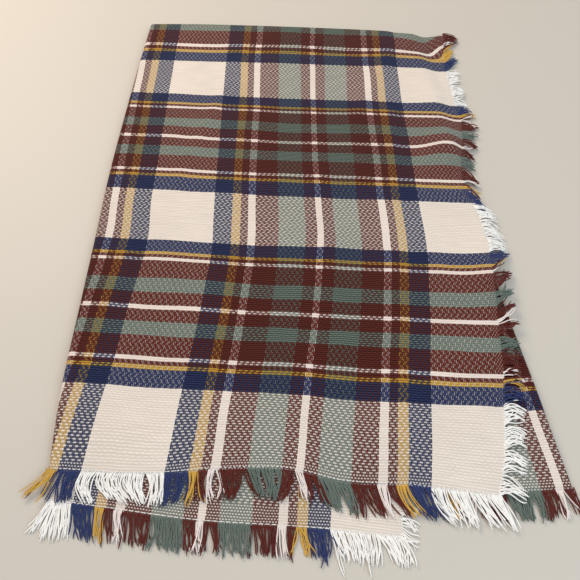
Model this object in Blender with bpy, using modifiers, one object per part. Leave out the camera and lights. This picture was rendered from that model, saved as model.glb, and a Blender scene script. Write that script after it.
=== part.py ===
"""A fringed blanket scarf, folded in half end to end and then in thirds, lying on a flat surface.

Metres, +Z up. The origin is on the surface, under the middle of the folded bundle. +X runs to the
raw side edge of the top panel and +Y to the fold at the back.
"""

import math

import bpy
import numpy as np

# ---- the cloth and how it is stacked
WALL = 0.0016  # one woven ply
PITCH = 0.0026  # from one ply to the next, with the air between them
GAP = 0.0003  # between two pieces that meet edge to edge
ROLL = (PITCH + WALL) / 2  # outer radius of the fold that joins two neighbouring plies
TUCK = 0.008  # how far a wrapped ply runs back under its fold
WRAP_STEPS = 8  # facets round half a turn
BACK_STEPS = 6
EDGE_STEP = 0.004  # how far past the second panel's raw edge the top panel starts to come down
EDGE_DROP_WIDTH = 0.025  # over this width, down to the flap
FOLD_DROP_WIDTH = 0.035  # and past the right fold, down to the surface
SECOND_FOOT_Y = -0.505  # where the second panel would reach the surface
SECOND_RISE_LENGTH = 0.145  # from there up to its full height
FLAP_FOOT_Y = -0.485
FLAP_RISE_LENGTH = 0.125

# ---- where the plies end, front to back (y) and side to side (x)
REAR_Y = 0.514  # where the sides of the hidden layers turn into their back
STRIP_BACK_Y = -0.300  # the second panel is modelled from its hem to here

# ---- how finely the plies are divided
FRONT_SHARE = 0.14  # this share of the depth, at the front, has closer stations
FRONT_STEPS = 8
MAIN_STEPS = 18
TOP_STEPS = 25
SECOND_STEPS = 16
SECOND_DEPTH_STEPS = 14
FRINGED_STEPS = 3  # of those, along the second panel's raw edge, with fringe that shows
FLAP_STEPS = 7
FRINGE_SHARES = (0.0, 0.33, 0.66, 1.0)  # of a strand's reach

# Each table is a line seen from above: a row for each station.
# y, x
LEFT_FOLD = (
    (-0.437, -0.3040),
    (-0.330, -0.3155),
    (-0.200, -0.3225),
    (-0.070, -0.3290),
    (0.080, -0.3370),
    (0.250, -0.3410),
    (0.420, -0.3430),
    (0.535, -0.3430),
)
# y, x
RAW_EDGE = (
    (-0.450, 0.247),
    (-0.400, 0.260),
    (-0.340, 0.268),
    (-0.280, 0.276),
    (-0.200, 0.281),
    (-0.120, 0.285),
    (-0.050, 0.287),
    (0.010, 0.281),
    (0.070, 0.267),
    (0.130, 0.268),
    (0.190, 0.278),
    (0.250, 0.284),
    (0.310, 0.275),
    (0.380, 0.271),
    (0.450, 0.274),
    (0.530, 0.279),
)
# y, x
RIGHT_FOLD = (
    (-0.434, 0.3390),
    (-0.362, 0.3270),
    (-0.304, 0.3190),
    (-0.248, 0.3100),
    (0.000, 0.2750),
    (0.250, 0.2400),
    (0.530, 0.2050),
)
# y, x
SECOND_EDGE = (
    (-0.500, 0.135),
    (0.530, 0.150),
)
# y, x
SECOND_FOLD = (
    (-0.500, -0.3080),
    (-0.460, -0.3040),
    (-0.440, -0.2970),
    (-0.420, -0.2960),
    (-0.380, -0.3010),
    (-0.300, -0.3100),
)
# x, y
TOP_HEM = (
    (-0.350, -0.4370),
    (-0.160, -0.4365),
    (-0.090, -0.4290),
    (0.003, -0.4270),
    (0.050, -0.4370),
    (0.150, -0.4395),
    (0.250, -0.4470),
)
# x, y
SECOND_HEM = (
    (-0.320, -0.4705),
    (-0.240, -0.4785),
    (-0.130, -0.4890),
    (0.020, -0.4930),
    (0.135, -0.4990),
)
# x, y
FLAP_HEM = (
    (0.140, -0.4450),
    (0.260, -0.4415),
    (0.339, -0.4340),
)
# x, y
BACK_FOLD = (
    (-0.350, 0.5300),
    (-0.270, 0.5335),
    (-0.110, 0.5335),
    (0.040, 0.5300),
    (0.160, 0.5250),
    (0.250, 0.5195),
    (0.280, 0.5205),
)

# ---- the largest waves of the raw edge: centre y, inset from the edge, half length, half width, rise
EDGE_WAVES = (
    (0.510, 0.000, 0.030, 0.030, 0.006),
    (0.330, 0.020, 0.055, 0.050, 0.007),
    (0.170, 0.030, 0.045, 0.035, 0.014),
    (-0.120, 0.000, 0.075, 0.030, 0.007),
    (-0.300, 0.020, 0.060, 0.040, 0.004),
)

# ---- fringe: root along the edge, sideways lean of the tips, reach
# x, lean, reach
TOP_END_FRINGE = (
    (-0.3040, -0.016, 0.034),
    (-0.2600, -0.004, 0.036),
    (-0.1000, 0.004, 0.038),
    (0.0500, 0.008, 0.042),
    (0.1500, 0.012, 0.044),
    (0.2450, 0.014, 0.047),
)
# x, lean, reach
SECOND_END_FRINGE = (
    (-0.3070, -0.004, 0.044),
    (-0.2200, -0.002, 0.041),
    (-0.1000, 0.002, 0.038),
    (0.0500, 0.003, 0.036),
    (0.1340, 0.006, 0.0350),
)
# x, lean, reach
FLAP_END_FRINGE = (
    (0.1700, 0.002, 0.034),
    (0.2500, 0.002, 0.036),
    (0.3300, 0.0063, 0.034),
)
# y, lean, reach
TOP_SIDE_FRINGE = (
    (-0.440, -0.006, 0.026),
    (-0.330, 0.000, 0.026),
    (-0.200, 0.012, 0.024),
    (0.000, 0.006, 0.022),
    (0.100, -0.008, 0.022),
    (0.250, 0.004, 0.022),
    (0.400, 0.010, 0.020),
    (0.505, 0.014, 0.016),
)
# y, lean, reach
SECOND_SIDE_FRINGE = (
    (-0.497, -0.012, 0.020),
    (-0.455, -0.006, 0.022),
)

# ---- hidden layers, from the surface upwards: height, then how far each side lies inside its line.
# The right side follows the right fold, and above the flap's level the second panel's raw edge.
# z, left, right, right line, front y, back inset
LAYERS = (
    (0.0000, 0.0190, 0.0150, "fold", -0.425, 0.0040),
    (0.0017, 0.0190, 0.0150, "fold", -0.425, 0.0040),
    (0.0020, 0.0076, 0.0054, "fold", -0.425, 0.0030),
    (0.0032, 0.0042, 0.0028, "fold", -0.418, 0.0028),
    (0.0047, 0.0030, 0.0024, "fold", -0.405, 0.0055),
    (0.0062, 0.0026, 0.0030, "fold", -0.378, 0.0028),
    (0.0074, 0.0024, 0.0056, "fold", -0.352, 0.0028),
    (0.0076, 0.0024, 0.0020, "edge", -0.350, 0.0028),
    (0.0092, 0.0030, 0.0012, "edge", -0.345, 0.0045),
    (0.0095, 0.0032, 0.0030, "edge", -0.297, 0.0055),
    (0.0100, 0.0036, 0.0012, "edge", -0.296, 0.0040),
    (0.0116, 0.0050, 0.0012, "edge", -0.295, 0.0040),
    (0.0119, 0.0056, 0.0030, "edge", -0.294, 0.0050),
)
SIDE_STATIONS = 14
END_STATIONS = 12

COLLECTION = "blanket_scarf"


def level(ply):
    """The middle of a ply that lies flat, counted from the surface: 1 is the lowest."""
    return WALL / 2 + (ply - 1) * PITCH


def smooth(value):
    value = min(max(value, 0.0), 1.0)
    return value * value * (3 - 2 * value)


def mix(first, second, share):
    return first + (second - first) * share


def along(table, at, column=1):
    """A smooth curve through one column of a table, read at a value of its first column."""
    stations = [row[0] for row in table]
    values = [row[column] for row in table]
    slopes = np.gradient(values, stations)
    at = min(max(at, stations[0]), stations[-1])
    i = min(max(int(np.searchsorted(stations, at)) - 1, 0), len(stations) - 2)
    span = stations[i + 1] - stations[i]
    t = (at - stations[i]) / span
    start = (2 * t**3 - 3 * t**2 + 1) * values[i] + (t**3 - 2 * t**2 + t) * span * slopes[i]
    end = (3 * t**2 - 2 * t**3) * values[i + 1] + (t**3 - t**2) * span * slopes[i + 1]
    return start + end


# ---- heights: the middle of each ply where it lies


def second_height(y):
    """The second panel lies flat and comes down to the surface in front of the plies below it."""
    return mix(level(1), level(5), smooth((y - SECOND_FOOT_Y) / SECOND_RISE_LENGTH))


def flap_height(y):
    return mix(level(1), level(4), smooth((y - FLAP_FOOT_Y) / FLAP_RISE_LENGTH))


def edge_wave(x, y):
    """How far the waves lift the top panel near its raw edge."""
    inside = along(RAW_EDGE, y) - x
    rise = 0.0
    for centre, inset, length, width, height in EDGE_WAVES:
        rise += height * math.exp(-(((y - centre) / length) ** 2) - ((inside - inset) / width) ** 2)
    return rise


def top_height(x, y):
    """On the second panel, then on the flap, then down beyond the right fold to the surface."""
    past_edge = smooth((x - along(SECOND_EDGE, y) - EDGE_STEP) / EDGE_DROP_WIDTH)
    lying = mix(second_height(y), flap_height(y), past_edge) + PITCH
    past_fold = smooth((x - along(RIGHT_FOLD, y)) / FOLD_DROP_WIDTH)
    return mix(lying, level(2) + GAP, past_fold) + edge_wave(x, y)


def under_top(x, y):
    """A ply just below the top panel, where no wave lifts that."""
    return top_height(x, y) - edge_wave(x, y) - PITCH


# ---- building


def material(name, colour, roughness=0.9):
    made = bpy.data.materials.new(name)
    made.use_nodes = True
    shader = made.node_tree.nodes["Principled BSDF"]
    shader.inputs["Base Color"].default_value = (*colour, 1.0)
    shader.inputs["Roughness"].default_value = roughness
    return made


def add_object(name, points, faces, finish):
    mesh = bpy.data.meshes.new(name)
    mesh.from_pydata([tuple(p) for p in points], [], faces)
    mesh.materials.append(finish)
    mesh.shade_smooth()
    made = bpy.data.objects.new(name, mesh)
    bpy.data.collections[COLLECTION].objects.link(made)
    return made


def add_ply(name, rows, finish):
    """A wall of cloth through rows of points: an open sheet, thickened evenly both ways."""
    count = len(rows[0])
    points = [point for row in rows for point in row]
    faces = []
    for r in range(len(rows) - 1):
        for c in range(count - 1):
            corner = r * count + c
            faces.append((corner, corner + 1, corner + count + 1, corner + count))
    made = add_object(name, points, faces, finish)
    wall = made.modifiers.new("wall", "SOLIDIFY")
    wall.thickness = WALL
    wall.offset = 0.0
    return made


def spread(start, end, steps, lean=1.0):
    """Steps from start to end, closer together near the end where lean is over 1."""
    return [mix(start, end, 1 - (1 - i / steps) ** lean) for i in range(steps + 1)]


def depth_stations():
    """Shares of the depth from hem to back: close together at the front, where the plies come down."""
    front = spread(0.0, FRONT_SHARE, FRONT_STEPS)
    return front + spread(FRONT_SHARE, 1.0, MAIN_STEPS)[1:]


def place_on(line, share, depth):
    """The point of a line seen from above that lies at a share of a panel's depth."""
    x = along(line, depth(0.0, share))
    x = along(line, depth(x, share))
    return x, depth(x, share)


def top_depth(x, share):
    return mix(along(TOP_HEM, x), along(BACK_FOLD, x) - ROLL, share)


def second_depth(x, share):
    return mix(along(SECOND_HEM, x), STRIP_BACK_Y, share)


def flap_depth(x, share):
    return mix(along(FLAP_HEM, x), along(BACK_FOLD, x) - 2 * ROLL, share)


def top_stations(share):
    """The left roll's radius and centre, then the points across the flat of the top panel."""
    left, y = place_on(LEFT_FOLD, share, top_depth)
    radius = (top_height(left, y) - level(1)) / 2
    centre = left + radius + WALL / 2
    edge = place_on(RAW_EDGE, share, top_depth)[0]
    return radius, centre, [(x, top_depth(x, share)) for x in spread(centre, edge, TOP_STEPS, 1.5)]


def second_stations(share):
    left = place_on(SECOND_FOLD, share, second_depth)[0]
    edge = place_on(SECOND_EDGE, share, second_depth)[0]
    return [(x, second_depth(x, share)) for x in spread(left, edge, SECOND_STEPS)]


def flap_stations(share):
    """The right roll's radius and centre, then the points across the flat of the flap."""
    fold, y = place_on(RIGHT_FOLD, share, flap_depth)
    radius = (flap_height(y) - level(1)) / 2
    centre = fold - radius - WALL / 2
    start = place_on(SECOND_EDGE, share, flap_depth)[0] + EDGE_STEP
    return radius, centre, [(x, flap_depth(x, share)) for x in spread(start, centre, FLAP_STEPS)]


def build_top_panel(finish):
    back_roll = [math.pi * i / BACK_STEPS for i in range(1, BACK_STEPS + 1)]
    stations = [(share, 0.0) for share in depth_stations()] + [(1.0, turn) for turn in back_roll]
    rows = []
    for share, turn in stations:
        radius, centre, flat = top_stations(share)
        lift, reach = PITCH / 2 * (1 - math.cos(turn)), PITCH / 2 * math.sin(turn)

        def rolled(x, y, z, angle):
            return (x + lift * math.sin(angle), y + reach, z - lift * math.cos(angle))

        row = [rolled(centre + TUCK, top_depth(centre, share), level(1), math.pi)]
        for i in range(WRAP_STEPS):
            angle = math.pi * (1 - i / WRAP_STEPS)
            x, z = centre - radius * math.sin(angle), level(1) + radius * (1 + math.cos(angle))
            row.append(rolled(x, top_depth(x, share), z, angle))
        row += [rolled(x, y, top_height(x, y), 0.0) for x, y in flat]
        rows.append(row)
    return add_ply("top_panel", rows, finish)


def build_second_panel(finish):
    rows = []
    for share in spread(0.0, 1.0, SECOND_DEPTH_STEPS):
        rows.append([(x, y, second_height(y)) for x, y in second_stations(share)])
    return add_ply("second_panel", rows, finish)


def build_right_flap(finish):
    rows = []
    for share in depth_stations():
        radius, centre, flat = flap_stations(share)
        row = [(x, y, flap_height(y)) for x, y in flat]
        for i in range(1, WRAP_STEPS + 1):
            angle = math.pi * i / WRAP_STEPS
            x, z = centre + radius * math.sin(angle), level(1) + radius * (1 + math.cos(angle))
            row.append((x, flap_depth(x, share), z))
        row.append((centre - TUCK, flap_depth(centre, share), level(1)))
        rows.append(row)
    return add_ply("right_flap", rows, finish)


def build_hidden_layers(finish):
    """The plies between, as one solid: rings that bulge at each fold and draw in between them."""
    rings = []
    for z, left, right, line, front, back in LAYERS:
        right_line = RIGHT_FOLD if line == "fold" else SECOND_EDGE
        side_y = spread(front, REAR_Y, SIDE_STATIONS)
        left_x = along(LEFT_FOLD, REAR_Y) + left
        right_x = along(right_line, REAR_Y) - right
        ring = [(along(LEFT_FOLD, y) + left, y) for y in side_y]
        ring += [(x, along(BACK_FOLD, x) - ROLL - back) for x in spread(left_x, right_x, END_STATIONS)]
        ring += [(along(right_line, y) - right, y) for y in reversed(side_y)]
        rings.append([(x, y, z) for x, y in ring])
    count = len(rings[0])
    points = [point for ring in rings for point in ring]
    faces = [tuple(range(count))]
    for r in range(len(rings) - 1):
        for c in range(count):
            low, following = r * count + c, r * count + (c + 1) % count
            faces.append((following, low, low + count, following + count))
    faces.append(tuple(reversed(range((len(rings) - 1) * count, len(points)))))
    made = add_object("hidden_layers", points, faces, finish)
    made.data.shade_flat()
    return made


def build_end_fringe(name, roots, table, height, finish):
    """The plain reach of a fringe that goes on from a hem towards the front."""
    rows = []
    for share in reversed(FRINGE_SHARES):
        row = []
        for x, y in roots:
            tip_x = x + along(table, x, 1) * share
            tip_y = y - GAP - along(table, x, 2) * share
            row.append((tip_x, tip_y, height(tip_x, tip_y)))
        rows.append(row)
    return add_ply(name, rows, finish)


def build_side_fringe(name, roots, table, height, finish):
    """The plain reach of a fringe that goes on from a raw side edge to the right."""
    rows = []
    for x, y in roots:
        row = []
        for share in FRINGE_SHARES:
            tip_x = x + GAP + along(table, y, 2) * share
            tip_y = y + along(table, y, 1) * share
            row.append((tip_x, tip_y, height(tip_x, tip_y)))
        rows.append(row)
    return add_ply(name, rows, finish)


def build_fringes(finish):
    top_roots = top_stations(0.0)[2]
    flap_roots = [(x, y) for x, y in flap_stations(0.0)[2] if x > FLAP_END_FRINGE[0][0]]
    top_edge = [place_on(RAW_EDGE, share, top_depth) for share in depth_stations()]
    shown = FRINGED_STEPS / SECOND_DEPTH_STEPS
    second_edge = [
        place_on(SECOND_EDGE, share, second_depth) for share in spread(0.0, shown, FRINGED_STEPS)
    ]
    build_end_fringe("top_end_fringe", top_roots, TOP_END_FRINGE, top_height, finish)
    build_end_fringe("second_end_fringe", second_stations(0.0), SECOND_END_FRINGE, under_top, finish)
    build_end_fringe("flap_end_fringe", flap_roots, FLAP_END_FRINGE, under_top, finish)
    build_side_fringe("top_side_fringe", top_edge, TOP_SIDE_FRINGE, top_height, finish)
    build_side_fringe("second_side_fringe", second_edge, SECOND_SIDE_FRINGE, under_top, finish)


def clear_scene():
    for old in list(bpy.data.objects):
        bpy.data.objects.remove(old)
    collection = bpy.data.collections.new(COLLECTION)
    bpy.context.scene.collection.children.link(collection)


def main():
    clear_scene()
    plaid = material("plaid_cloth", (0.34, 0.14, 0.13))
    inner = material("inner_plies", (0.45, 0.33, 0.28))
    fringe = material("fringe_yarn", (0.62, 0.52, 0.44))
    build_hidden_layers(inner)
    build_top_panel(plaid)
    build_second_panel(plaid)
    build_right_flap(plaid)
    build_fringes(fringe)


main()
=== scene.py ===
import math

import bpy
import numpy as np
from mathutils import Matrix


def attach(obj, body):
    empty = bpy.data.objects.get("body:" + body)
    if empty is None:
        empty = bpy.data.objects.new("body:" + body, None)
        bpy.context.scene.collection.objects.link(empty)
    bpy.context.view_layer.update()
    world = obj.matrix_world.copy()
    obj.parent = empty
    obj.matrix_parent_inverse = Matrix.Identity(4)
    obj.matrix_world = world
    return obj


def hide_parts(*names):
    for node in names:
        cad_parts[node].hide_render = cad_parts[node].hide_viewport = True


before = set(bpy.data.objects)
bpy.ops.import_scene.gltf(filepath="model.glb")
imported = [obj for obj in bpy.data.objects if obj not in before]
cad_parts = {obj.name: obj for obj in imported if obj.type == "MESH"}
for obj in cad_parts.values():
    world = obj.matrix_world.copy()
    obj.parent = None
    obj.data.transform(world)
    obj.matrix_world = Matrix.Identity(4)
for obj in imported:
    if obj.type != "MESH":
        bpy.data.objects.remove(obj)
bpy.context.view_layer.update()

# ---- the stack, in metres: the same plies as the solids
WALL = 0.0016
PITCH = 0.0026
ROLL = (PITCH + WALL) / 2
TUCK = 0.008
EDGE_STEP = 0.004
STRIP_BACK_Y = -0.300
SECOND_FOOT_Y = -0.505  # where the second panel leaves the counter
SECOND_RISE_LENGTH = 0.145  # and how far back it reaches its place in the stack
FLAP_FOOT_Y = -0.485
FLAP_RISE_LENGTH = 0.125
EDGE_DROP_WIDTH = 0.025  # the top ply's way down past the second panel's edge
FOLD_DROP_WIDTH = 0.035  # and past the right fold
CLOTH = 0.0013  # thickness of the woven cloth itself
BODY = "root"

# ---- the weave
END = 0.0020  # one warp end to the next
PICK = 0.00337  # one weft pick to the next
YARN = 0.00080  # radius of a loose yarn
YARN_SIDES = 5
END_YARN_PITCH = 0.00125  # one yarn to the next along a hem
SIDE_YARN_PITCH = 0.0017  # along the raw edge
SECOND_SIDE_YARN_PITCH = 0.0019  # and along the second panel's edge
ROOT_INSET = 0.0010  # how far inside its edge a yarn starts
WARP_COVER = 0.60  # how much of its cell a warp float shows
WEFT_COVER = 0.60  # and a weft float
WARP_YIELD = 0.46  # how much a warp float narrows beside a darker weft
WARP_LEAST = 0.26  # but no narrower than this
WEFT_YIELD = 0.25  # and how much a pale weft float narrows on a dark warp
WEFT_PAINTED_SHADE = 0.23  # how much painted shade, in the colour of both crossing yarns, a weft float takes up
WARP_PAINTED_SHADE = 0.34  # and a warp float
HEM_V = -0.4350  # the lengthwise cloth coordinate of a hem
WARP_CENTRE = 0.0395  # where the first cream block is centred, from the raw edge
WEFT_CENTRE = -0.0206  # where a cream band is centred, lengthwise
PLAIN_HEM = 0.0135  # depth of plain weave along the hem
PLAIN_EDGE = 0.0080  # and along the raw edge
PLAIN_SECOND = 0.0240  # and along the hem of the second panel

# Half of each repeat, in yarns, from the middle of the cream band to the narrow pale stripe.
WARP_SETT = (
    ("cream", 26), ("navy", 15), ("mustard", 7), ("maroon", 6), ("blush", 6),
    ("maroon", 17), ("sage", 21), ("maroon", 9), ("blush", 3),
)
WEFT_SETT = (
    ("cream", 16), ("navy", 8), ("mustard", 2), ("maroon", 2), ("blush", 2),
    ("maroon", 10), ("sage", 7), ("maroon", 6), ("blush", 1),
)
# The dye of each yarn, as it shows in the cloth.
DYES = {
    "cream": (0.800, 0.718, 0.640),
    "blush": (0.80, 0.70, 0.64),
    "navy": (0.034, 0.047, 0.132),
    "maroon": (0.148, 0.027, 0.017),
    "sage": (0.180, 0.220, 0.185),
    "mustard": (0.56, 0.338, 0.058),
}

# And on a loose yarn of the fringe.
LOOSE_DYES = {
    "cream": (0.88, 0.84, 0.79),
    "blush": (0.80, 0.70, 0.65),
    "navy": (0.030, 0.042, 0.125),
    "maroon": (0.105, 0.020, 0.014),
    "sage": (0.130, 0.160, 0.135),
    "mustard": (0.60, 0.350, 0.065),
}

# ---- lines seen from above, a row for each station
# y, x
LEFT_FOLD = (
    (-0.437, -0.3040), (-0.330, -0.3155), (-0.200, -0.3225), (-0.070, -0.3290),
    (0.080, -0.3370), (0.250, -0.3410), (0.420, -0.3430), (0.535, -0.3430),
)
# y, x
RAW_EDGE = (
    (-0.450, 0.247), (-0.400, 0.260), (-0.340, 0.268), (-0.280, 0.276),
    (-0.200, 0.281), (-0.120, 0.285), (-0.050, 0.287), (0.010, 0.281),
    (0.070, 0.267), (0.130, 0.268), (0.190, 0.278), (0.250, 0.284),
    (0.310, 0.275), (0.380, 0.271), (0.450, 0.274), (0.530, 0.279),
)
# y, x
RIGHT_FOLD = (
    (-0.434, 0.3390), (-0.362, 0.3270), (-0.304, 0.3190), (-0.248, 0.3100),
    (0.000, 0.2750), (0.250, 0.2400), (0.530, 0.2050),
)
# y, x
SECOND_EDGE = ((-0.500, 0.129), (0.530, 0.150))
# y, x
SECOND_FOLD = (
    (-0.500, -0.2960), (-0.460, -0.2960), (-0.440, -0.2960),
    (-0.420, -0.2960), (-0.380, -0.3010), (-0.300, -0.3100),
)
# x, y
TOP_HEM = (
    (-0.350, -0.4370), (-0.160, -0.4365), (-0.090, -0.4290), (0.003, -0.4270),
    (0.050, -0.4370), (0.150, -0.4395), (0.250, -0.4470),
)
# x, y
SECOND_HEM = (
    (-0.320, -0.4705), (-0.240, -0.4785), (-0.130, -0.4890),
    (0.020, -0.4930), (0.135, -0.4990),
)
# x, y
FLAP_HEM = ((0.140, -0.4450), (0.260, -0.4415), (0.339, -0.4340))
# x, y
BACK_FOLD = (
    (-0.350, 0.5300), (-0.270, 0.5335), (-0.110, 0.5335), (0.040, 0.5300),
    (0.160, 0.5250), (0.250, 0.5195), (0.280, 0.5205),
)
# y, x of the line where the right cream block begins, width scale of the weave
GRAIN = (
    (-0.440, 0.1662, 0.974), (-0.332, 0.1747, 0.979), (-0.200, 0.1850, 0.986),
    (-0.076, 0.1909, 0.991), (0.028, 0.1877, 1.001), (0.160, 0.1815, 1.004),
    (0.298, 0.1760, 1.007), (0.400, 0.1734, 1.013), (0.530, 0.1715, 1.018),
)
GRAIN_U = 0.092  # the crosswise cloth coordinate of that line
# y on the bundle, and the lengthwise cloth coordinate of the pick that lies there
PICKS = (
    (-0.4370, -0.4350), (-0.3284, -0.3306), (-0.2482, -0.2498), (-0.2008, -0.2026),
    (-0.1493, -0.1554), (-0.1156, -0.1217), (-0.0738, -0.0745), (0.0326, 0.0333),
    (0.0651, 0.0603), (0.1187, 0.1142), (0.1663, 0.1614), (0.2190, 0.2086),
    (0.2473, 0.2423), (0.2888, 0.2895), (0.3997, 0.3973), (0.4321, 0.4243),
    (0.4616, 0.4445), (0.5065, 0.4782), (0.5320, 0.4985),
)

# ---- the largest waves of the raw edge: centre y, inset from the edge, half length, half width, rise
EDGE_WAVES = (
    (0.510, 0.000, 0.030, 0.030, 0.006),
    (0.330, 0.020, 0.055, 0.050, 0.007),
    (0.170, 0.030, 0.045, 0.035, 0.014),
    (-0.120, 0.000, 0.075, 0.030, 0.007),
    (-0.300, 0.020, 0.060, 0.040, 0.004),
)
# Soft creases of the top panel: x, y of the middle, direction, half length, half width, rise.
CREASES = (
    (-0.180, 0.240, 78, 0.200, 0.012, 0.0017),
    (0.040, -0.100, 96, 0.240, 0.016, 0.0014),
    (0.120, 0.330, 70, 0.120, 0.014, 0.0020),
    (-0.080, -0.250, 12, 0.150, 0.012, -0.0013),
    (0.190, -0.020, 100, 0.140, 0.014, 0.0017),
    (-0.250, -0.090, 84, 0.140, 0.010, -0.0014),
    (0.020, 0.440, 5, 0.180, 0.010, -0.0014),
    (-0.120, 0.030, 30, 0.100, 0.016, 0.0011),
    (0.170, -0.330, 60, 0.080, 0.014, 0.0017),
)


def level(ply):
    return WALL / 2 + (ply - 1) * PITCH


def smooth(value):
    value = min(max(value, 0.0), 1.0)
    return value * value * (3 - 2 * value)


def mix(first, second, share):
    return first + (second - first) * share


SLOPES = {}


def along(table, at, column=1):
    """A smooth curve through one column of a table, read at a value of its first column."""
    key = (id(table), column)
    if key not in SLOPES:
        stations = [row[0] for row in table]
        values = [row[column] for row in table]
        SLOPES[key] = (stations, values, np.gradient(values, stations).tolist())
    stations, values, slopes = SLOPES[key]
    at = min(max(at, stations[0]), stations[-1])
    i = 0
    while i < len(stations) - 2 and at > stations[i + 1]:
        i += 1
    span = stations[i + 1] - stations[i]
    t = (at - stations[i]) / span
    start = (2 * t**3 - 3 * t**2 + 1) * values[i] + (t**3 - 2 * t**2 + t) * span * slopes[i]
    end = (3 * t**2 - 2 * t**3) * values[i + 1] + (t**3 - t**2) * span * slopes[i + 1]
    return start + end


# ---- heights: the middle of each ply where it lies


def second_height(y):
    return mix(level(1), level(5), smooth((y - SECOND_FOOT_Y) / SECOND_RISE_LENGTH))


def flap_height(y):
    return mix(level(1), level(4), smooth((y - FLAP_FOOT_Y) / FLAP_RISE_LENGTH))


def edge_wave(x, y):
    inside = along(RAW_EDGE, y) - x
    rise = 0.0
    for centre, inset, length, width, height in EDGE_WAVES:
        rise += height * math.exp(-(((y - centre) / length) ** 2) - ((inside - inset) / width) ** 2)
    return rise


def crease(x, y):
    rise = 0.0
    for cx, cy, turn, length, width, height in CREASES:
        run = math.cos(math.radians(turn)), math.sin(math.radians(turn))
        far = (x - cx) * run[0] + (y - cy) * run[1]
        off = (y - cy) * run[0] - (x - cx) * run[1]
        rise += height * math.exp(-((far / length) ** 2) - (off / width) ** 2)
    return rise


def lying_height(x, y):
    """The top ply on the second panel, then on the flap, then down beyond the right fold."""
    past_edge = smooth((x - along(SECOND_EDGE, y) - EDGE_STEP) / EDGE_DROP_WIDTH)
    lying = mix(second_height(y), flap_height(y), past_edge) + PITCH
    past_fold = smooth((x - along(RIGHT_FOLD, y)) / FOLD_DROP_WIDTH)
    return mix(lying, level(2), past_fold)


def top_height(x, y):
    return lying_height(x, y) + edge_wave(x, y) + crease(x, y)


# ---- where cloth coordinates lie: u from the raw edge across, v lengthwise


def top_u(x, y):
    start = along(GRAIN, y)
    if x <= start:
        return GRAIN_U + (start - x) / along(GRAIN, y, 2)
    edge = along(RAW_EDGE, y)
    return GRAIN_U * (1 - (x - start) / max(edge - start, 0.01))


# ---- mesh building


def spread(start, end, steps, lean=1.0):
    return [mix(start, end, 1 - (1 - i / steps) ** lean) for i in range(steps + 1)]


def add_cloth(name, rows, finish):
    """A sheet through rows of (x, y, z, u, v), with its cloth coordinates as a UV map, then thickened."""
    grid = np.array(rows, dtype=np.float64)
    high, wide = grid.shape[:2]
    index = np.arange(high * wide).reshape(high, wide)
    quads = np.stack([index[:-1, :-1], index[:-1, 1:], index[1:, 1:], index[1:, :-1]], axis=-1)
    mesh = bpy.data.meshes.new(name)
    mesh.from_pydata(grid[..., :3].reshape(-1, 3).tolist(), [], quads.reshape(-1, 4).tolist())
    corner = np.empty(len(mesh.loops), dtype=np.int32)
    mesh.loops.foreach_get("vertex_index", corner)
    cloth_map = mesh.uv_layers.new(name="cloth")
    cloth_map.data.foreach_set("uv", grid[..., 3:5].reshape(-1, 2)[corner].astype(np.float32).ravel())
    mesh.materials.append(finish)
    mesh.shade_smooth()
    piece = bpy.data.objects.new(name, mesh)
    bpy.context.scene.collection.objects.link(piece)
    wall = piece.modifiers.new("cloth thickness", "SOLIDIFY")
    wall.thickness = CLOTH
    wall.offset = 0.0
    return piece


def declare(piece, slot, *nodes):
    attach(piece, BODY)
    if nodes:
        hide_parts(*nodes)


# ---- depth of each panel


HEM_MEAN = -0.4350
BACK_MEAN = 0.5305


def top_depth(x, share):
    """Picks run straight in the middle and bend to the hem in front and to the fold behind."""
    y = mix(HEM_MEAN, BACK_MEAN - ROLL, share)
    y += (along(TOP_HEM, x) - HEM_MEAN) * (1 - share) ** 7
    return y + (along(BACK_FOLD, x) - BACK_MEAN) * share**24


def pick_shift(x, y):
    """How far the picks lie behind a straight line: towards the left fold, and at the back corner."""
    to_left = 0.008 * smooth(-x / 0.30) * smooth((y + 0.43) / 0.06) * smooth((0.44 - y) / 0.15)
    near = smooth((y - 0.430) / 0.050)
    dip = 0.006 * math.exp(-(((x - 0.222) / 0.022) ** 2))
    return to_left + near * (0.024 * smooth((x - 0.232) / 0.050) - dip)


def second_depth(x, share):
    return mix(along(SECOND_HEM, x), STRIP_BACK_Y, share)


def flap_depth(x, share):
    return mix(along(FLAP_HEM, x), along(BACK_FOLD, x) - 2 * ROLL, share)


def place_on(line, share, depth):
    x = along(line, depth(0.0, share))
    x = along(line, depth(x, share))
    return x, depth(x, share)


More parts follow.
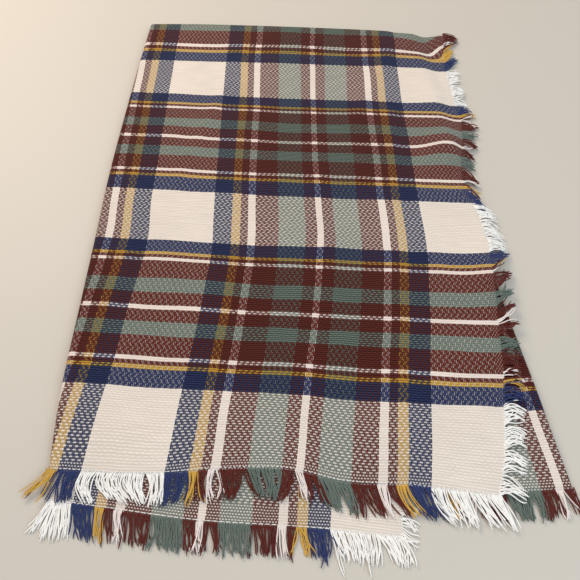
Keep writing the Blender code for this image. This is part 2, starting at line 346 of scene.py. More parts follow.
def build_top_panel(finish):
    flat_steps, wrap_steps, roll_steps, depth_steps = 150, 14, 8, 210
    shares = [(i / depth_steps, 0.0) for i in range(depth_steps + 1)]
    turns = [math.pi * i / roll_steps for i in range(1, roll_steps + 1)]
    rows = []
    for share, turn in shares + [(1.0, turn) for turn in turns]:
        left, left_y = place_on(LEFT_FOLD, share, top_depth)
        radius = (top_height(left + level(3), left_y) - level(1)) / 2
        centre = left + radius + WALL / 2
        edge = place_on(RAW_EDGE, share, top_depth)[0]
        lift, reach = PITCH / 2 * (1 - math.cos(turn)), PITCH / 2 * math.sin(turn)
        v = along(PICKS, mix(HEM_MEAN, BACK_MEAN - ROLL, share)) + turn * PITCH / 2
        row = []
        start_u = top_u(centre, left_y)

        def rolled(x, y, z, angle, u):
            pick = v - pick_shift(x, y)
            return (x + lift * math.sin(angle), y + reach, z - lift * math.cos(angle), u, pick)

        half_turn = start_u + math.pi * radius
        row.append(rolled(centre + TUCK, top_depth(centre, share), level(1), math.pi, half_turn + TUCK))
        for i in range(wrap_steps):
            angle = math.pi * (1 - i / wrap_steps)
            x, z = centre - radius * math.sin(angle), level(1) + radius * (1 + math.cos(angle))
            row.append(rolled(x, top_depth(x, share), z, angle, start_u + angle * radius))
        for x in spread(centre, edge, flat_steps, 1.15):
            y = top_depth(x, share)
            row.append(rolled(x, y, top_height(x, y), 0.0, top_u(x, y)))
        rows.append(row)
    piece = add_cloth("top_panel_cloth", rows, finish)
    declare(piece, "plaid_cloth", "top_panel")
    return piece


SECOND_SCALE = 0.925


def second_u(x, y):
    """On the second panel the weave lies a little closer, and its blocks are shifted to the left."""
    return (along(SECOND_EDGE, y) - x) / SECOND_SCALE


def build_second_panel(finish):
    depth_steps, flat_steps = 46, 120
    rows = []
    for share in spread(0.0, 1.0, depth_steps):
        left = place_on(SECOND_FOLD, share, second_depth)[0]
        edge = place_on(SECOND_EDGE, share, second_depth)[0]
        row = []
        for x in spread(left, edge, flat_steps):
            y = second_depth(x, share)
            row.append((x, y, second_height(y), second_u(x, y), HEM_V + y - along(SECOND_HEM, x)))
        rows.append(row)
    piece = add_cloth("second_panel_cloth", rows, finish)
    declare(piece, "plaid_cloth", "second_panel")
    return piece


FLAP_PIVOT_U = 0.2595  # the narrow pale stripe
FLAP_PIVOT_IN = 0.018  # and how far it lies inside the right fold


def build_right_flap(finish):
    depth_steps, flat_steps, wrap_steps = 150, 40, 12
    rows = []
    for share in spread(0.0, 1.0, depth_steps):
        fold, fold_y = place_on(RIGHT_FOLD, share, flap_depth)
        radius = (flap_height(fold_y) - level(1)) / 2
        centre = fold - radius - WALL / 2
        start = place_on(SECOND_EDGE, share, flap_depth)[0] + EDGE_STEP
        row = []
        for x in spread(start, centre, flat_steps):
            y = flap_depth(x, share)
            u = FLAP_PIVOT_U + fold - FLAP_PIVOT_IN - x
            row.append((x, y, flap_height(y), u, HEM_V + y - along(FLAP_HEM, x)))
        for i in range(1, wrap_steps + 1):
            angle = math.pi * i / wrap_steps
            x, z = centre + radius * math.sin(angle), level(1) + radius * (1 + math.cos(angle))
            u = FLAP_PIVOT_U + fold - FLAP_PIVOT_IN - centre - angle * radius
            row.append((x, flap_depth(x, share), z, u, HEM_V + fold_y - along(FLAP_HEM, x)))
        row.append((centre - TUCK, flap_depth(centre, share), level(1), u - TUCK, row[-1][4]))
        rows.append(row)
    piece = add_cloth("right_flap_cloth", rows, finish)
    declare(piece, "plaid_cloth", "right_flap")
    return piece


# ---- hidden layers: height, then how far each side lies inside its line, as in the solids
# z, left, right, right line, front y, back inset
LAYERS = (
    (0.0000, 0.0200, 0.0150, "fold", -0.424, 0.0055),
    (0.0004, 0.0195, 0.0150, "fold", -0.425, 0.0040),
    (0.0012, 0.0190, 0.0150, "fold", -0.425, 0.0030),
    (0.0020, 0.0076, 0.0054, "fold", -0.425, 0.0028),
    (0.0034, 0.0042, 0.0028, "fold", -0.418, 0.0030),
    (0.0044, 0.0032, 0.0026, "fold", -0.407, 0.0046),
    (0.0047, 0.0030, 0.0030, "fold", -0.405, 0.0070),
    (0.0050, 0.0029, 0.0026, "fold", -0.402, 0.0046),
    (0.0058, 0.0026, 0.0030, "fold", -0.384, 0.0030),
    (0.0068, 0.0025, 0.0040, "fold", -0.365, 0.0027),
    (0.0074, 0.0024, 0.0056, "fold", -0.352, 0.0028),
    (0.0076, 0.0024, 0.0020, "edge", -0.350, 0.0029),
    (0.0088, 0.0028, 0.0012, "edge", -0.346, 0.0036),
    (0.0094, 0.0031, 0.0016, "edge", -0.344, 0.0055),
    (0.0096, 0.0033, 0.0036, "edge", -0.297, 0.0080),
    (0.0100, 0.0036, 0.0014, "edge", -0.296, 0.0050),
    (0.0109, 0.0043, 0.0010, "edge", -0.295, 0.0040),
    (0.0117, 0.0050, 0.0014, "edge", -0.295, 0.0045),
    (0.0119, 0.0056, 0.0030, "edge", -0.294, 0.0055),
)
REAR_Y = 0.514
PLY_MAP_LIMIT = 0.16  # the plaid of the side that shows goes on to this x


def build_hidden_layers(finish):
    side_steps, back_steps = 90, 60
    points, maps = [], []
    for z, left, right, line, front, back in LAYERS:
        right_line = RIGHT_FOLD if line == "fold" else SECOND_EDGE
        side_y = spread(front, REAR_Y, side_steps)
        left_x = along(LEFT_FOLD, REAR_Y) + left
        right_x = along(right_line, REAR_Y) - right
        ring = [(along(LEFT_FOLD, y) + left, y) for y in side_y]
        ring += [(x, along(BACK_FOLD, x) - ROLL - back) for x in spread(left_x, right_x, back_steps)]
        ring += [(along(right_line, y) - right, y) for y in reversed(side_y)]
        points += [(x, y, z) for x, y in ring]
        maps += [(top_u(min(x, PLY_MAP_LIMIT), y), y) for x, y in ring]
        count = len(ring)
    faces = [tuple(range(count))]
    for r in range(len(LAYERS) - 1):
        for c in range(count):
            low, following = r * count + c, r * count + (c + 1) % count
            faces.append((following, low, low + count, following + count))
    faces.append(tuple(reversed(range(len(points) - count, len(points)))))
    mesh = bpy.data.meshes.new("hidden_layers_cloth")
    mesh.from_pydata(points, [], faces)
    cloth_map = mesh.uv_layers.new(name="cloth")
    for loop in mesh.loops:
        cloth_map.data[loop.index].uv = maps[loop.vertex_index]
    mesh.materials.append(finish)
    piece = bpy.data.objects.new("hidden_layers_cloth", mesh)
    bpy.context.scene.collection.objects.link(piece)
    mesh.shade_smooth()
    mesh.set_sharp_from_angle(angle=math.radians(60))
    declare(piece, "inner_plies", "hidden_layers")
    return piece


# ---- fringe: each yarn is a line of points, and a node tree sweeps a tube along every line


def sweep_tree():
    """Turns lines of edges into round yarns. Inputs: yarn radius, sides, finish."""
    tree = bpy.data.node_groups.new("sweep_yarns", "GeometryNodeTree")
    face = tree.interface
    face.new_socket("Lines", in_out="INPUT", socket_type="NodeSocketGeometry")
    radius = face.new_socket("Yarn radius", in_out="INPUT", socket_type="NodeSocketFloat")
    sides = face.new_socket("Sides", in_out="INPUT", socket_type="NodeSocketInt")
    finish = face.new_socket("Finish", in_out="INPUT", socket_type="NodeSocketMaterial")
    face.new_socket("Yarns", in_out="OUTPUT", socket_type="NodeSocketGeometry")
    group_in = tree.nodes.new("NodeGroupInput")
    group_out = tree.nodes.new("NodeGroupOutput")
    curve = tree.nodes.new("GeometryNodeMeshToCurve")
    thick = tree.nodes.new("GeometryNodeInputNamedAttribute")
    thick.data_type = "FLOAT"
    thick.inputs["Name"].default_value = "thick"
    scale = tree.nodes.new("ShaderNodeMath")
    scale.operation = "MULTIPLY"
    ring = tree.nodes.new("GeometryNodeCurvePrimitiveCircle")
    ring.inputs["Radius"].default_value = 1.0
    sweep = tree.nodes.new("GeometryNodeCurveToMesh")
    sweep.inputs["Fill Caps"].default_value = True
    shade = tree.nodes.new("GeometryNodeSetShadeSmooth")
    realize = tree.nodes.new("GeometryNodeRealizeInstances")
    paint = tree.nodes.new("GeometryNodeSetMaterial")
    link = tree.links.new
    link(group_in.outputs["Lines"], curve.inputs["Mesh"])
    link(thick.outputs["Attribute"], scale.inputs[0])
    link(group_in.outputs["Yarn radius"], scale.inputs[1])
    link(scale.outputs[0], sweep.inputs["Scale"])
    link(group_in.outputs["Sides"], ring.inputs["Resolution"])
    link(curve.outputs["Curve"], sweep.inputs["Curve"])
    link(ring.outputs["Curve"], sweep.inputs["Profile Curve"])
    link(sweep.outputs["Mesh"], shade.inputs["Geometry"])
    link(shade.outputs["Geometry"], realize.inputs["Geometry"])
    link(realize.outputs["Geometry"], paint.inputs["Geometry"])
    link(group_in.outputs["Finish"], paint.inputs["Material"])
    link(paint.outputs["Geometry"], group_out.inputs["Yarns"])
    return tree, {"radius": radius.identifier, "sides": sides.identifier, "finish": finish.identifier}


def sweep_yarns(name, yarns, finish):
    """yarns is a list of (points, sett): the line of one yarn and the cloth coordinate of its colour."""
    lines = bpy.data.meshes.new(name + "_lines")
    points, edges, sett, thick = [], [], [], []
    for path, coordinate, girth in yarns:
        first = len(points)
        points += path
        edges += [(first + i, first + i + 1) for i in range(len(path) - 1)]
        sett += [coordinate] * len(path)
        taper = [1.0] * (len(path) - 1) + [0.55]
        thick += [girth * t for t in taper]
    lines.from_pydata(points, edges, [])
    lines.attributes.new("sett", "FLOAT", "POINT").data.foreach_set("value", sett)
    lines.attributes.new("thick", "FLOAT", "POINT").data.foreach_set("value", thick)
    carrier = bpy.data.objects.new(name + "_carrier", lines)
    bpy.context.scene.collection.objects.link(carrier)
    tree, inputs = SWEEP
    sweep = carrier.modifiers.new("sweep", "NODES")
    sweep.node_group = tree
    sweep[inputs["radius"]] = YARN
    sweep[inputs["sides"]] = YARN_SIDES
    sweep[inputs["finish"]] = finish
    evaluated = carrier.evaluated_get(bpy.context.evaluated_depsgraph_get())
    mesh = bpy.data.meshes.new_from_object(evaluated)
    mesh.name = name
    piece = bpy.data.objects.new(name, mesh)
    bpy.context.scene.collection.objects.link(piece)
    bpy.data.objects.remove(carrier)
    return piece


SWEEP = sweep_tree()


def yarn_path(root, run, across, length, lean, bow, height, ripple, steps=8):
    """A limp yarn from its root: run is the way out of the cloth, across the way it leans and bows."""
    path = []
    shrink = 1.0 - 0.35 * min(abs(lean) / max(length, 1e-6), 1.0)
    for i in range(steps + 1):
        t = i / steps
        out = length * shrink * t
        side = lean * t**1.6 + bow * math.sin(math.pi * t) + ripple[0] * math.sin(ripple[1] + 5.0 * t) * t
        x = root[0] + run[0] * out + across[0] * side
        y = root[1] + run[1] * out + across[1] * side
        path.append((x, y, height(x, y, t)))
    return path


# Tufts of the end fringes. Each row: start and end along the hem, where the tips lean, sideways bow,
# how much the tips gather, length.
TOP_TUFTS = (
    (-0.3060, -0.2960, -0.024, 0.000, 0.30, 0.043),
    (-0.2960, -0.2860, -0.013, -0.002, 0.30, 0.042),
    (-0.2860, -0.2620, -0.004, -0.002, 0.25, 0.040),
    (-0.2620, -0.2420, 0.006, -0.006, 0.35, 0.040),
    (-0.2420, -0.2250, 0.016, -0.004, 0.30, 0.036),
    (-0.2250, -0.2050, 0.014, -0.006, 0.25, 0.038),
    (-0.2050, -0.1830, 0.012, -0.003, 0.40, 0.040),
    (-0.1830, -0.1630, 0.003, 0.002, 0.30, 0.041),
    (-0.1630, -0.1350, -0.004, 0.002, 0.30, 0.040),
    (-0.1350, -0.1210, -0.003, 0.003, 0.60, 0.041),
    (-0.1210, -0.0980, 0.004, -0.003, 0.35, 0.040),
    (-0.0980, -0.0660, 0.002, 0.003, 0.45, 0.038),
    (-0.0660, -0.0430, 0.012, 0.002, 0.55, 0.038),
    (-0.0430, -0.0230, 0.006, 0.004, 0.55, 0.040),
    (-0.0230, -0.0020, -0.004, 0.004, 0.60, 0.040),
    (-0.0020, 0.0180, 0.010, 0.002, 0.35, 0.040),
    (0.0180, 0.0480, 0.014, 0.002, 0.30, 0.043),
    (0.0480, 0.0810, 0.010, 0.003, 0.40, 0.043),
    (0.0810, 0.1120, 0.014, 0.000, 0.30, 0.043),
    (0.1120, 0.1350, 0.018, -0.002, 0.35, 0.043),
    (0.1350, 0.1620, 0.016, 0.000, 0.30, 0.044),
    (0.1620, 0.1850, 0.018, -0.002, 0.30, 0.046),
    (0.1850, 0.2100, 0.014, 0.002, 0.30, 0.047),
    (0.2100, 0.2300, 0.022, 0.002, 0.35, 0.047),
    (0.2300, 0.2500, 0.020, 0.004, 0.45, 0.046),
)
SECOND_TUFTS = (
    (-0.2960, -0.2900, -0.014, -0.002, 0.15, 0.046),
    (-0.2900, -0.2820, -0.007, -0.001, 0.15, 0.046),
    (-0.2820, -0.2660, 0.006, 0.001, 0.15, 0.045),
    (-0.2660, -0.2350, 0.009, 0.000, 0.20, 0.043),
    (-0.2350, -0.2190, 0.008, 0.000, 0.35, 0.042),
    (-0.2190, -0.1980, 0.004, 0.000, 0.25, 0.041),
    (-0.1980, -0.1640, 0.006, 0.001, 0.20, 0.040),
    (-0.1640, -0.1290, 0.005, 0.000, 0.20, 0.040),
    (-0.1290, -0.1000, 0.002, 0.000, 0.35, 0.039),
    (-0.1000, -0.0800, 0.006, 0.001, 0.25, 0.038),
    (-0.0800, -0.0450, 0.003, 0.000, 0.20, 0.038),
    (-0.0450, -0.0120, 0.006, 0.001, 0.20, 0.037),
    (-0.0120, 0.0060, 0.000, 0.001, 0.40, 0.037),
    (0.0060, 0.0410, 0.006, 0.001, 0.25, 0.036),
    (0.0410, 0.0700, 0.010, 0.002, 0.25, 0.037),
    (0.0700, 0.1000, 0.006, 0.002, 0.25, 0.036),
    (0.1000, 0.1310, 0.012, 0.003, 0.30, 0.036),
    (0.0300, 0.0325, 0.010, 0.004, 0.00, 0.052),
    (0.0560, 0.0580, 0.004, -0.004, 0.00, 0.056),
    (0.0740, 0.0755, 0.012, 0.004, 0.00, 0.050),
    (-0.2965, -0.2880, -0.016, 0.001, 0.10, 0.044),
    (-0.2900, -0.2800, -0.004, -0.002, 0.20, 0.045),
    (-0.2860, -0.2740, 0.002, 0.001, 0.20, 0.046),
)
FLAP_TUFTS = (
    (0.1700, 0.2200, 0.002, 0.000, 0.20, 0.035),
    (0.2200, 0.2560, 0.004, 0.000, 0.20, 0.035),
    (0.2560, 0.2860, 0.006, 0.001, 0.30, 0.036),
    (0.2860, 0.3100, 0.006, 0.001, 0.30, 0.037),
    (0.3100, 0.3250, 0.008, 0.001, 0.35, 0.036),
    (0.3250, 0.3400, 0.011, 0.001, 0.35, 0.034),
)
# Tufts of the side fringe: start and end along the raw edge, lean towards the back, bow, gather, length.
SIDE_TUFTS = (
    (-0.4480, -0.4200, -0.010, 0.002, 0.85, 0.034),
    (-0.4200, -0.3900, -0.004, 0.003, 0.63, 0.030),
    (-0.3900, -0.3600, 0.000, 0.004, 0.53, 0.029),
    (-0.3600, -0.3300, 0.003, 0.003, 0.53, 0.029),
    (-0.3300, -0.3020, 0.002, 0.002, 0.48, 0.029),
    (-0.3020, -0.2890, 0.001, 0.003, 0.68, 0.029),
    (-0.2890, -0.2480, 0.000, 0.002, 0.38, 0.029),
    (-0.2480, -0.2240, 0.003, 0.002, 0.43, 0.029),
    (-0.2240, -0.2030, 0.014, 0.004, 0.78, 0.038),
    (-0.2030, -0.1780, 0.024, 0.001, 0.74, 0.040),
    (-0.1780, -0.1490, 0.023, 0.001, 0.68, 0.039),
    (-0.1490, -0.1150, 0.024, 0.001, 0.70, 0.040),
    (-0.1150, -0.1060, 0.027, 0.001, 0.73, 0.033),
    (-0.1060, -0.0740, 0.026, -0.001, 0.72, 0.040),
    (-0.0740, -0.0400, 0.003, 0.003, 0.43, 0.034),
    (-0.0400, -0.0050, -0.006, 0.004, 0.48, 0.033),
    (-0.0050, 0.0330, 0.000, 0.002, 0.48, 0.033),
    (0.0330, 0.0600, -0.020, 0.002, 0.63, 0.032),
    (0.0600, 0.0800, -0.018, 0.002, 0.78, 0.032),
    (0.0800, 0.1180, -0.016, 0.002, 0.85, 0.034),
    (0.1180, 0.1430, -0.008, 0.003, 0.78, 0.028),
    (0.1430, 0.1630, -0.006, 0.002, 0.85, 0.028),
    (0.1630, 0.1910, 0.001, 0.001, 0.85, 0.030),
    (0.1910, 0.2180, 0.002, 0.001, 0.76, 0.031),
    (0.2180, 0.2500, -0.003, 0.001, 0.72, 0.031),
    (0.2500, 0.2820, 0.004, 0.001, 0.76, 0.031),
    (0.2820, 0.3100, -0.003, 0.002, 0.53, 0.026),
    (0.3100, 0.3500, 0.006, 0.001, 0.53, 0.029),
    (0.3500, 0.4000, 0.010, 0.001, 0.43, 0.029),
    (0.4000, 0.4320, 0.026, 0.002, 0.72, 0.034),
    (0.4320, 0.4650, 0.020, 0.001, 0.70, 0.024),
    (0.4650, 0.5300, 0.009, 0.001, 0.70, 0.031),
)
SECOND_SIDE_TUFTS = (
    (-0.4990, -0.4850, -0.014, -0.002, 0.40, 0.024),
    (-0.4850, -0.4700, -0.010, 0.001, 0.35, 0.023),
    (-0.4700, -0.4550, -0.006, 0.001, 0.30, 0.022),
)


def comb(tufts, pitch, seed, root_of, run, across, height, colour_of, loose=1.0):
    """The yarns of a fringe, tuft by tuft, each with its own small wander."""
    chance = np.random.default_rng(seed)
    yarns = []
    for start, end, lean, bow, gather, length in tufts:
        middle = (start + end) / 2
        count = max(int(round((end - start) / pitch)), 1)
        for k in range(count):
            at = start + (k + 0.5) * (end - start) / count
            pile = chance.uniform(0.0, 0.0022)
            own_lean = lean + (middle - at) * gather + chance.normal(0.0, 0.0028) * loose
            own_length = length * chance.uniform(0.84, 1.08)
            ripple = (chance.normal(0.0, 0.0016) * loose, chance.uniform(0, 6.28))
            own_bow = bow + chance.normal(0.0, 0.0013) * loose
            girth = chance.uniform(0.85, 1.15)

            def rest(x, y, t, pile=pile):
                return height(x, y, t) + pile * smooth(t * 3) * (1 - 0.3 * t)

            inset = chance.uniform(0.0, 0.0022)
            root = root_of(at)
            root = (root[0] - run[0] * inset, root[1] - run[1] * inset)
            path = yarn_path(root, run, across, own_length, own_lean, own_bow, rest, ripple)
            yarns.append((path, colour_of(at), girth))
    return yarns


def hem_dashes(line, start, end, dash, gap, inset, height):
    """The thread that runs in and out along a hem: each dash rises out of the cloth and dips back."""
    dashes = []
    at = start
    while at + dash < end:
        path = []
        for i in range(5):
            x = at + dash * i / 4
            y = along(line, x) + inset
            path.append((x, y, height(x, y) + CLOTH / 2 + 0.0005 * math.sin(math.pi * i / 4)))
        dashes.append((path, WARP_CENTRE, 0.60))
        at += dash + gap
    return dashes


def build_fringes(end_yarn, side_yarn):
    floor_rest = YARN + 0.0001

    def top_rest(x, y, t):
        return max(lying_height(x, y) + edge_wave(x, y) * (1 - t) - 0.0004 * t, floor_rest)

    def second_rest(x, y, t):
        return max(second_height(y) * (1 - 0.3 * t), floor_rest)

    def flap_rest(x, y, t):
        return max(flap_height(y) * (1 - 0.3 * t), floor_rest)

    def side_rest(x, y, t):
        support = lying_height(x, y)
        if y < -0.24:
            support = flap_height(y) + 0.0019 - 0.0050 * smooth((x - along(RIGHT_FOLD, y)) / 0.01)
        start = top_height(along(RAW_EDGE, y), y)
        return max(mix(start, support, t**1.5), floor_rest)

    def top_root(at):
        return (at, along(TOP_HEM, at) + ROOT_INSET)

    def second_root(at):
        return (at, along(SECOND_HEM, at) + ROOT_INSET)

    def flap_root(at):
        return (at, along(FLAP_HEM, at) + ROOT_INSET)

    def side_root(at):
        return (along(RAW_EDGE, at) - ROOT_INSET, at)

    def second_side_root(at):
        return (along(SECOND_EDGE, at) - ROOT_INSET, at)

    front, right = (0.0, -1.0), (1.0, 0.0)
    back = (0.0, 1.0)
    fringes = {}
    fringes["top_end_fringe"] = sweep_yarns(
        "top_end_fringe_yarns",
        comb(TOP_TUFTS, END_YARN_PITCH, 11, top_root, front, right, top_rest,
             lambda at: top_u(at, -0.437))
        + hem_dashes(TOP_HEM, -0.296, 0.246, 0.0028, 0.0030, 0.0026, top_height),
        end_yarn,
    )
    fringes["second_end_fringe"] = sweep_yarns(
        "second_end_fringe_yarns",
        comb(SECOND_TUFTS, END_YARN_PITCH, 12, second_root, front, right, second_rest,
             lambda at: second_u(at, -0.49))
        + hem_dashes(SECOND_HEM, -0.290, 0.128, 0.0052, 0.0026, 0.0024, lambda x, y: second_height(y)),
        end_yarn,
    )
    fold_at_hem = along(RIGHT_FOLD, -0.434)
    fringes["flap_end_fringe"] = sweep_yarns(
        "flap_end_fringe_yarns",
        comb(FLAP_TUFTS, END_YARN_PITCH, 13, flap_root, front, right, flap_rest,
             lambda at: FLAP_PIVOT_U + fold_at_hem - FLAP_PIVOT_IN - at),
        end_yarn,
    )
    fringes["top_side_fringe"] = sweep_yarns(
        "top_side_fringe_yarns",
        comb(SIDE_TUFTS, SIDE_YARN_PITCH, 14, side_root, right, back, side_rest,
             lambda at: along(PICKS, at) - pick_shift(along(RAW_EDGE, at), at), 1.5),
        side_yarn,
    )
    fringes["second_side_fringe"] = sweep_yarns(
        "second_side_fringe_yarns",
        comb(SECOND_SIDE_TUFTS, SECOND_SIDE_YARN_PITCH, 15, second_side_root, right, back,
             lambda x, y, t: max(second_height(y) * (1 - t), floor_rest), lambda at: WEFT_CENTRE),
        side_yarn,
    )
    for node, piece in fringes.items():
        declare(piece, "fringe_yarn", node)
    return fringes


# ---- shader maths


class Value:
    """A socket that can be used in Python expressions: each operator adds a Math node."""

    def __init__(self, tree, socket):
        self.tree = tree
        self.socket = socket

    def math(self, operation, *others, swap=False):
        maths = self.tree.nodes.new("ShaderNodeMath")
        maths.operation = operation
        values = [self, *others]
        if swap:
            values.reverse()
        for place, value in enumerate(values):
            plug(self.tree, value, maths.inputs[place])
        return Value(self.tree, maths.outputs[0])

    def __add__(self, other):
        return self.math("ADD", other)

    def __radd__(self, other):
        return self.math("ADD", other)

    def __sub__(self, other):
        return self.math("SUBTRACT", other)

    def __rsub__(self, other):
        return self.math("SUBTRACT", other, swap=True)

    def __mul__(self, other):
        return self.math("MULTIPLY", other)

    def __rmul__(self, other):
        return self.math("MULTIPLY", other)

    def __truediv__(self, other):
        return self.math("DIVIDE", other)

    def __mod__(self, other):
        return self.math("FLOORED_MODULO", other)

    def __lt__(self, other):
        return self.math("LESS_THAN", other)

    def __gt__(self, other):
        return self.math("GREATER_THAN", other)

    def __pow__(self, other):
        return self.math("POWER", other)

    def floor(self):
        return self.math("FLOOR")

    def node(self, kind, settings=None, inputs=None, output=0):
        """Adds a node of any kind: its settings first, then its sockets' values or links."""
        return add_node(self.tree, kind, settings, inputs, output)


def plug(tree, value, socket):
    if isinstance(value, Value):
        tree.links.new(value.socket, socket)
    else:
        socket.default_value = value


def add_node(tree, kind, settings=None, inputs=None, output=0):
    made = tree.nodes.new(kind)
    for name, value in (settings or {}).items():
        setattr(made, name, value)
    for name, value in (inputs or {}).items():
        plug(tree, value, made.inputs[name])
    return Value(tree, made.outputs[output])


def tinted(tree, first, second, share, blend="MIX"):
    """Two colours through one Mix node."""
    made = tree.nodes.new("ShaderNodeMix")
    made.data_type = "RGBA"
    made.blend_type = blend
    plug(tree, share, made.inputs[0])
    plug(tree, first, made.inputs[6])
    plug(tree, second, made.inputs[7])
    return Value(tree, made.outputs[2])


def stripes(tree, coordinate, centre, sett, pitch, dyes=DYES):
    """The colour of the yarn that lies at a cloth coordinate: the sett, mirrored at both ends."""
    half = sum(count for _, count in sett)
    yarn = (coordinate / pitch).floor() + 0.5
    from_centre = (yarn - centre / pitch).math("PINGPONG", half) / half
    ramp = tree.nodes.new("ShaderNodeValToRGB")
    ramp.color_ramp.interpolation = "CONSTANT"
    stops = ramp.color_ramp.elements
    passed = 0
    for place, (dye, count) in enumerate(sett):
        stop = stops[0] if place == 0 else stops.new(passed / half)
        stop.position = passed / half
        stop.color = (*dyes[dye], 1.0)
        passed += count
    stops.remove(stops[len(stops) - 1])
    plug(tree, from_centre, ramp.inputs["Fac"])
    return Value(tree, ramp.outputs["Color"])


def as_light(colour):
    """How pale a colour is, from 0 to 1."""
    return colour.node("ShaderNodeRGBToBW", None, {"Color": colour})


def noise(tree, vector, scale, detail=2.0):
    return add_node(
        tree, "ShaderNodeTexNoise", None,
        {"Vector": vector, "Scale": scale, "Detail": detail, "Roughness": 0.6},
    )


def new_material(name):
    made = bpy.data.materials.new(name)
    made.use_nodes = True
    tree = made.node_tree
    shader = tree.nodes["Principled BSDF"]
    shader.inputs["Roughness"].default_value = 0.92
    shader.inputs["Specular IOR Level"].default_value = 0.12
    shader.inputs["Sheen Weight"].default_value = 0.06
    shader.inputs["Sheen Roughness"].default_value = 0.5
    return made, tree, shader


def plaid_finish(name, plain_depth):
    """Broken twill in the plaid's two setts, with plain weave along the hem."""
    made, tree, shader = new_material(name)
    cloth = tree.nodes.new("ShaderNodeUVMap")
    cloth.uv_map = "cloth"
    flat = Value(tree, cloth.outputs["UV"])
    split = tree.nodes.new("ShaderNodeSeparateXYZ")
    plug(tree, flat, split.inputs[0])
    wander = noise(tree, flat, 140.0, 1.0) - 0.5
    wander_across = noise(tree, flat, 95.0, 1.0) - 0.5
    sway = noise(tree, flat, 6.0, 1.0) - 0.5
    sway_across = noise(tree, flat, 7.5, 1.0) - 0.5
    u = Value(tree, split.outputs["X"]) + wander * 0.0011 + sway * 0.008
    v = Value(tree, split.outputs["Y"]) + wander_across * 0.0013 + sway_across * 0.008
    ends, picks = u / END, v / PICK
    end, pick = ends.floor(), picks.floor()
    across, up = ends - end, picks - pick
    plain = (v < HEM_V + plain_depth).math("MAXIMUM", u < PLAIN_EDGE)

    def warp_on_top(end_at, pick_at):
        row = pick_at % 4
        shift = row + (row > 1.5) * (5 - row * 2)
        twill = ((end_at - shift) % 4) < 1.5
        tabby = ((end_at + pick_at) % 2) < 0.5
        return twill + (tabby - twill) * plain

    here = warp_on_top(end, pick)
    above = warp_on_top(end, pick + 1)
    below = warp_on_top(end, pick - 1)
    left = warp_on_top(end - 1, pick)
    right = warp_on_top(end + 1, pick)

    warp = stripes(tree, u, WARP_CENTRE, WARP_SETT, END)
    weft = stripes(tree, v, WEFT_CENTRE, WEFT_SETT, PICK)
    # The picks are thick and bulge over the ends, so a float of the warp shows narrower than its cell.
    # A dark yarn reads wider than a pale one beside it, whose edges sink into its shade.
    contrast = as_light(weft) - as_light(warp)
    warp_cover = (WARP_COVER + contrast * WARP_YIELD).math("MAXIMUM", WARP_LEAST)
    weft_cover = WEFT_COVER - contrast * WEFT_YIELD
    off_end = (across * 2 - 1).math("ABSOLUTE")
    off_pick = (up * 2 - 1).math("ABSOLUTE")
    pinch = (up**4 * (1 - above)) + ((1 - up) ** 4 * (1 - below))
    warp_shape = (1 - off_end / warp_cover - pinch * 0.7).math("MAXIMUM", 0.0) * here
    sink = (across**4 * right) + ((1 - across) ** 4 * left)
    weft_width = weft_cover - here * 0.15
    weft_shape = (1 - off_pick / weft_width - sink * 0.35).math("MAXIMUM", 0.0) * (1 - here * 0.45)
    warp_wins = warp_shape > weft_shape * 0.6
    height = warp_shape.math("MAXIMUM", weft_shape)
    covered = (height * 6.0).math("MINIMUM", 1.0)

    # Painted shade: a pale yarn is darkened towards the colour of the dark yarns around it, and a gap
    # between yarns gets more of that painted shade.
    both = tinted(tree, warp, weft, 1.0, "MULTIPLY")
    weft_in_shade = tinted(tree, weft, both, WEFT_PAINTED_SHADE)
    warp_in_shade = tinted(tree, warp, both, WARP_PAINTED_SHADE)
    yarns = tinted(tree, weft_in_shade, warp_in_shade, warp_wins)
    # Painted shadow in the gaps between yarns: the colour of both yarns multiplied, less dark between
    # pale yarns.
    gap = tinted(tree, both, yarns, as_light(both) * 0.7 + 0.20)
    cover = tinted(tree, gap, yarns, covered)
    heather = noise(tree, flat, 900.0, 2.0)
    cloud = noise(tree, flat, 9.0, 2.0)
    along_picks = flat.node(
        "ShaderNodeVectorMath", {"operation": "MULTIPLY"}, {0: flat, 1: (24.0, 260.0, 1.0)}
    )
    streak = noise(tree, along_picks, 1.0, 1.0)
    # Painted shade: the hollows between yarns are darkened, more for dark yarns, and warp floats a little
    # darker; heather, cloud and streak noise vary it at random.
    hollow_shade = (1 - height) * (0.58 - as_light(cover) * 0.62)
    light = (1.08 - hollow_shade - warp_wins * 0.04) * (heather * 0.40 + 0.80)
    light = light * (cloud * 0.18 + 0.91) * (streak * 0.22 + 0.89)
    shade = add_node(
        tree, "ShaderNodeCombineColor", None, {"Red": light, "Green": light, "Blue": light}
    )
    shaded = tinted(tree, cover, shade, 1.0, "MULTIPLY")
    plug(tree, shaded, shader.inputs["Base Color"])
    relief = height + heather * 0.35
    bump = add_node(
        tree, "ShaderNodeBump", None, {"Strength": 0.22, "Distance": 0.0008, "Height": relief}
    )
    plug(tree, bump, shader.inputs["Normal"])
    return made


def yarn_finish(name, centre, sett, pitch):
    """Loose yarn in the colour of the stripe it leaves."""
    made, tree, shader = new_material(name)
    attribute = tree.nodes.new("ShaderNodeAttribute")
    attribute.attribute_name = "sett"
    where = Value(tree, attribute.outputs["Fac"])
    dye = stripes(tree, where, centre, sett, pitch, LOOSE_DYES)
    place = tree.nodes.new("ShaderNodeTexCoord")
    fuzz = noise(tree, Value(tree, place.outputs["Object"]), 1400.0, 2.0)
    light = fuzz * 0.5 + 0.76
    shade = add_node(
        tree, "ShaderNodeCombineColor", None, {"Red": light, "Green": light, "Blue": light}
    )
    plug(tree, tinted(tree, dye, shade, 1.0, "MULTIPLY"), shader.inputs["Base Color"])
    bump = add_node(tree, "ShaderNodeBump", None, {"Strength": 0.4, "Distance": 0.0004, "Height": fuzz})
    plug(tree, bump, shader.inputs["Normal"])
    return made


# ---- stage


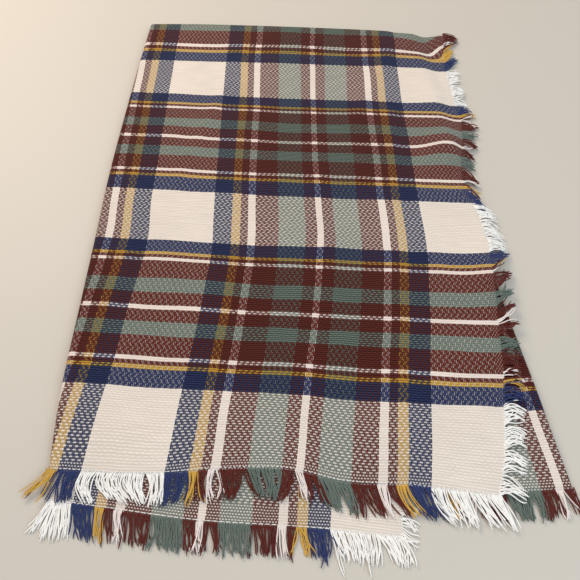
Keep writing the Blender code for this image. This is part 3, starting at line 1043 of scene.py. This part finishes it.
def build_stage():
    mesh = bpy.data.meshes.new("floor")
    half = 3.0
    corners = [(-half, -half, 0), (half, -half, 0), (half, half, 0), (-half, half, 0)]
    mesh.from_pydata(corners, [], [(0, 1, 2, 3)])
    floor = bpy.data.objects.new("floor", mesh)
    bpy.context.scene.collection.objects.link(floor)
    made = bpy.data.materials.new("floor")
    made.use_nodes = True
    shader = made.node_tree.nodes["Principled BSDF"]
    shader.inputs["Base Color"].default_value = (0.555, 0.502, 0.432, 1.0)
    shader.inputs["Roughness"].default_value = 0.55
    mesh.materials.append(made)
    floor.location.z = -0.0002

    world = bpy.data.worlds.new("studio")
    world.use_nodes = True
    world.node_tree.nodes["Background"].inputs["Color"].default_value = (0.95, 0.97, 1.0, 1.0)
    world.node_tree.nodes["Background"].inputs["Strength"].default_value = 0.66
    bpy.context.scene.world = world

    def area(name, place, aim, size, power, colour):
        light = bpy.data.lights.new(name, "AREA")
        light.size = size
        light.energy = power
        light.color = colour
        lamp = bpy.data.objects.new(name, light)
        bpy.context.scene.collection.objects.link(lamp)
        lamp.location = place
        way = np.array(place) - np.array(aim)
        across = math.hypot(way[0], way[1])
        lamp.rotation_euler = (math.atan2(across, way[2]), 0, math.atan2(way[0], -way[1]))
        return lamp

    area("key", (-1.5, 1.5, 1.7), (0, 0.1, 0), 1.2, 44, (1.0, 0.84, 0.68))
    area("fill", (1.6, -1.4, 1.9), (0, -0.2, 0), 1.8, 36, (0.70, 0.87, 1.0))


def build_camera():
    """Above the front of the bundle, looking down at 54 degrees."""
    lens = bpy.data.cameras.new("camera")
    lens.lens = 39.04
    lens.sensor_width = 36.0
    camera = bpy.data.objects.new("camera", lens)
    bpy.context.scene.collection.objects.link(camera)
    camera.location = (0.005, -0.700, 0.7646)
    camera.rotation_euler = (math.radians(90 - 54.05), 0.0, math.radians(2.35))
    bpy.context.scene.camera = camera


def main():
    bpy.context.scene.view_settings.view_transform = "Standard"
    build_camera()
    build_stage()
    plaid = plaid_finish("plaid_cloth", PLAIN_HEM)
    second_plaid = plaid_finish("plaid_hem", PLAIN_SECOND)
    end_yarn = yarn_finish("end_yarn", WARP_CENTRE, WARP_SETT, END)
    side_yarn = yarn_finish("side_yarn", WEFT_CENTRE, WEFT_SETT, PICK)
    top = build_top_panel(plaid)
    second = build_second_panel(second_plaid)
    flap = build_right_flap(plaid)
    build_hidden_layers(plaid)
    fringes = build_fringes(end_yarn, side_yarn)


main()
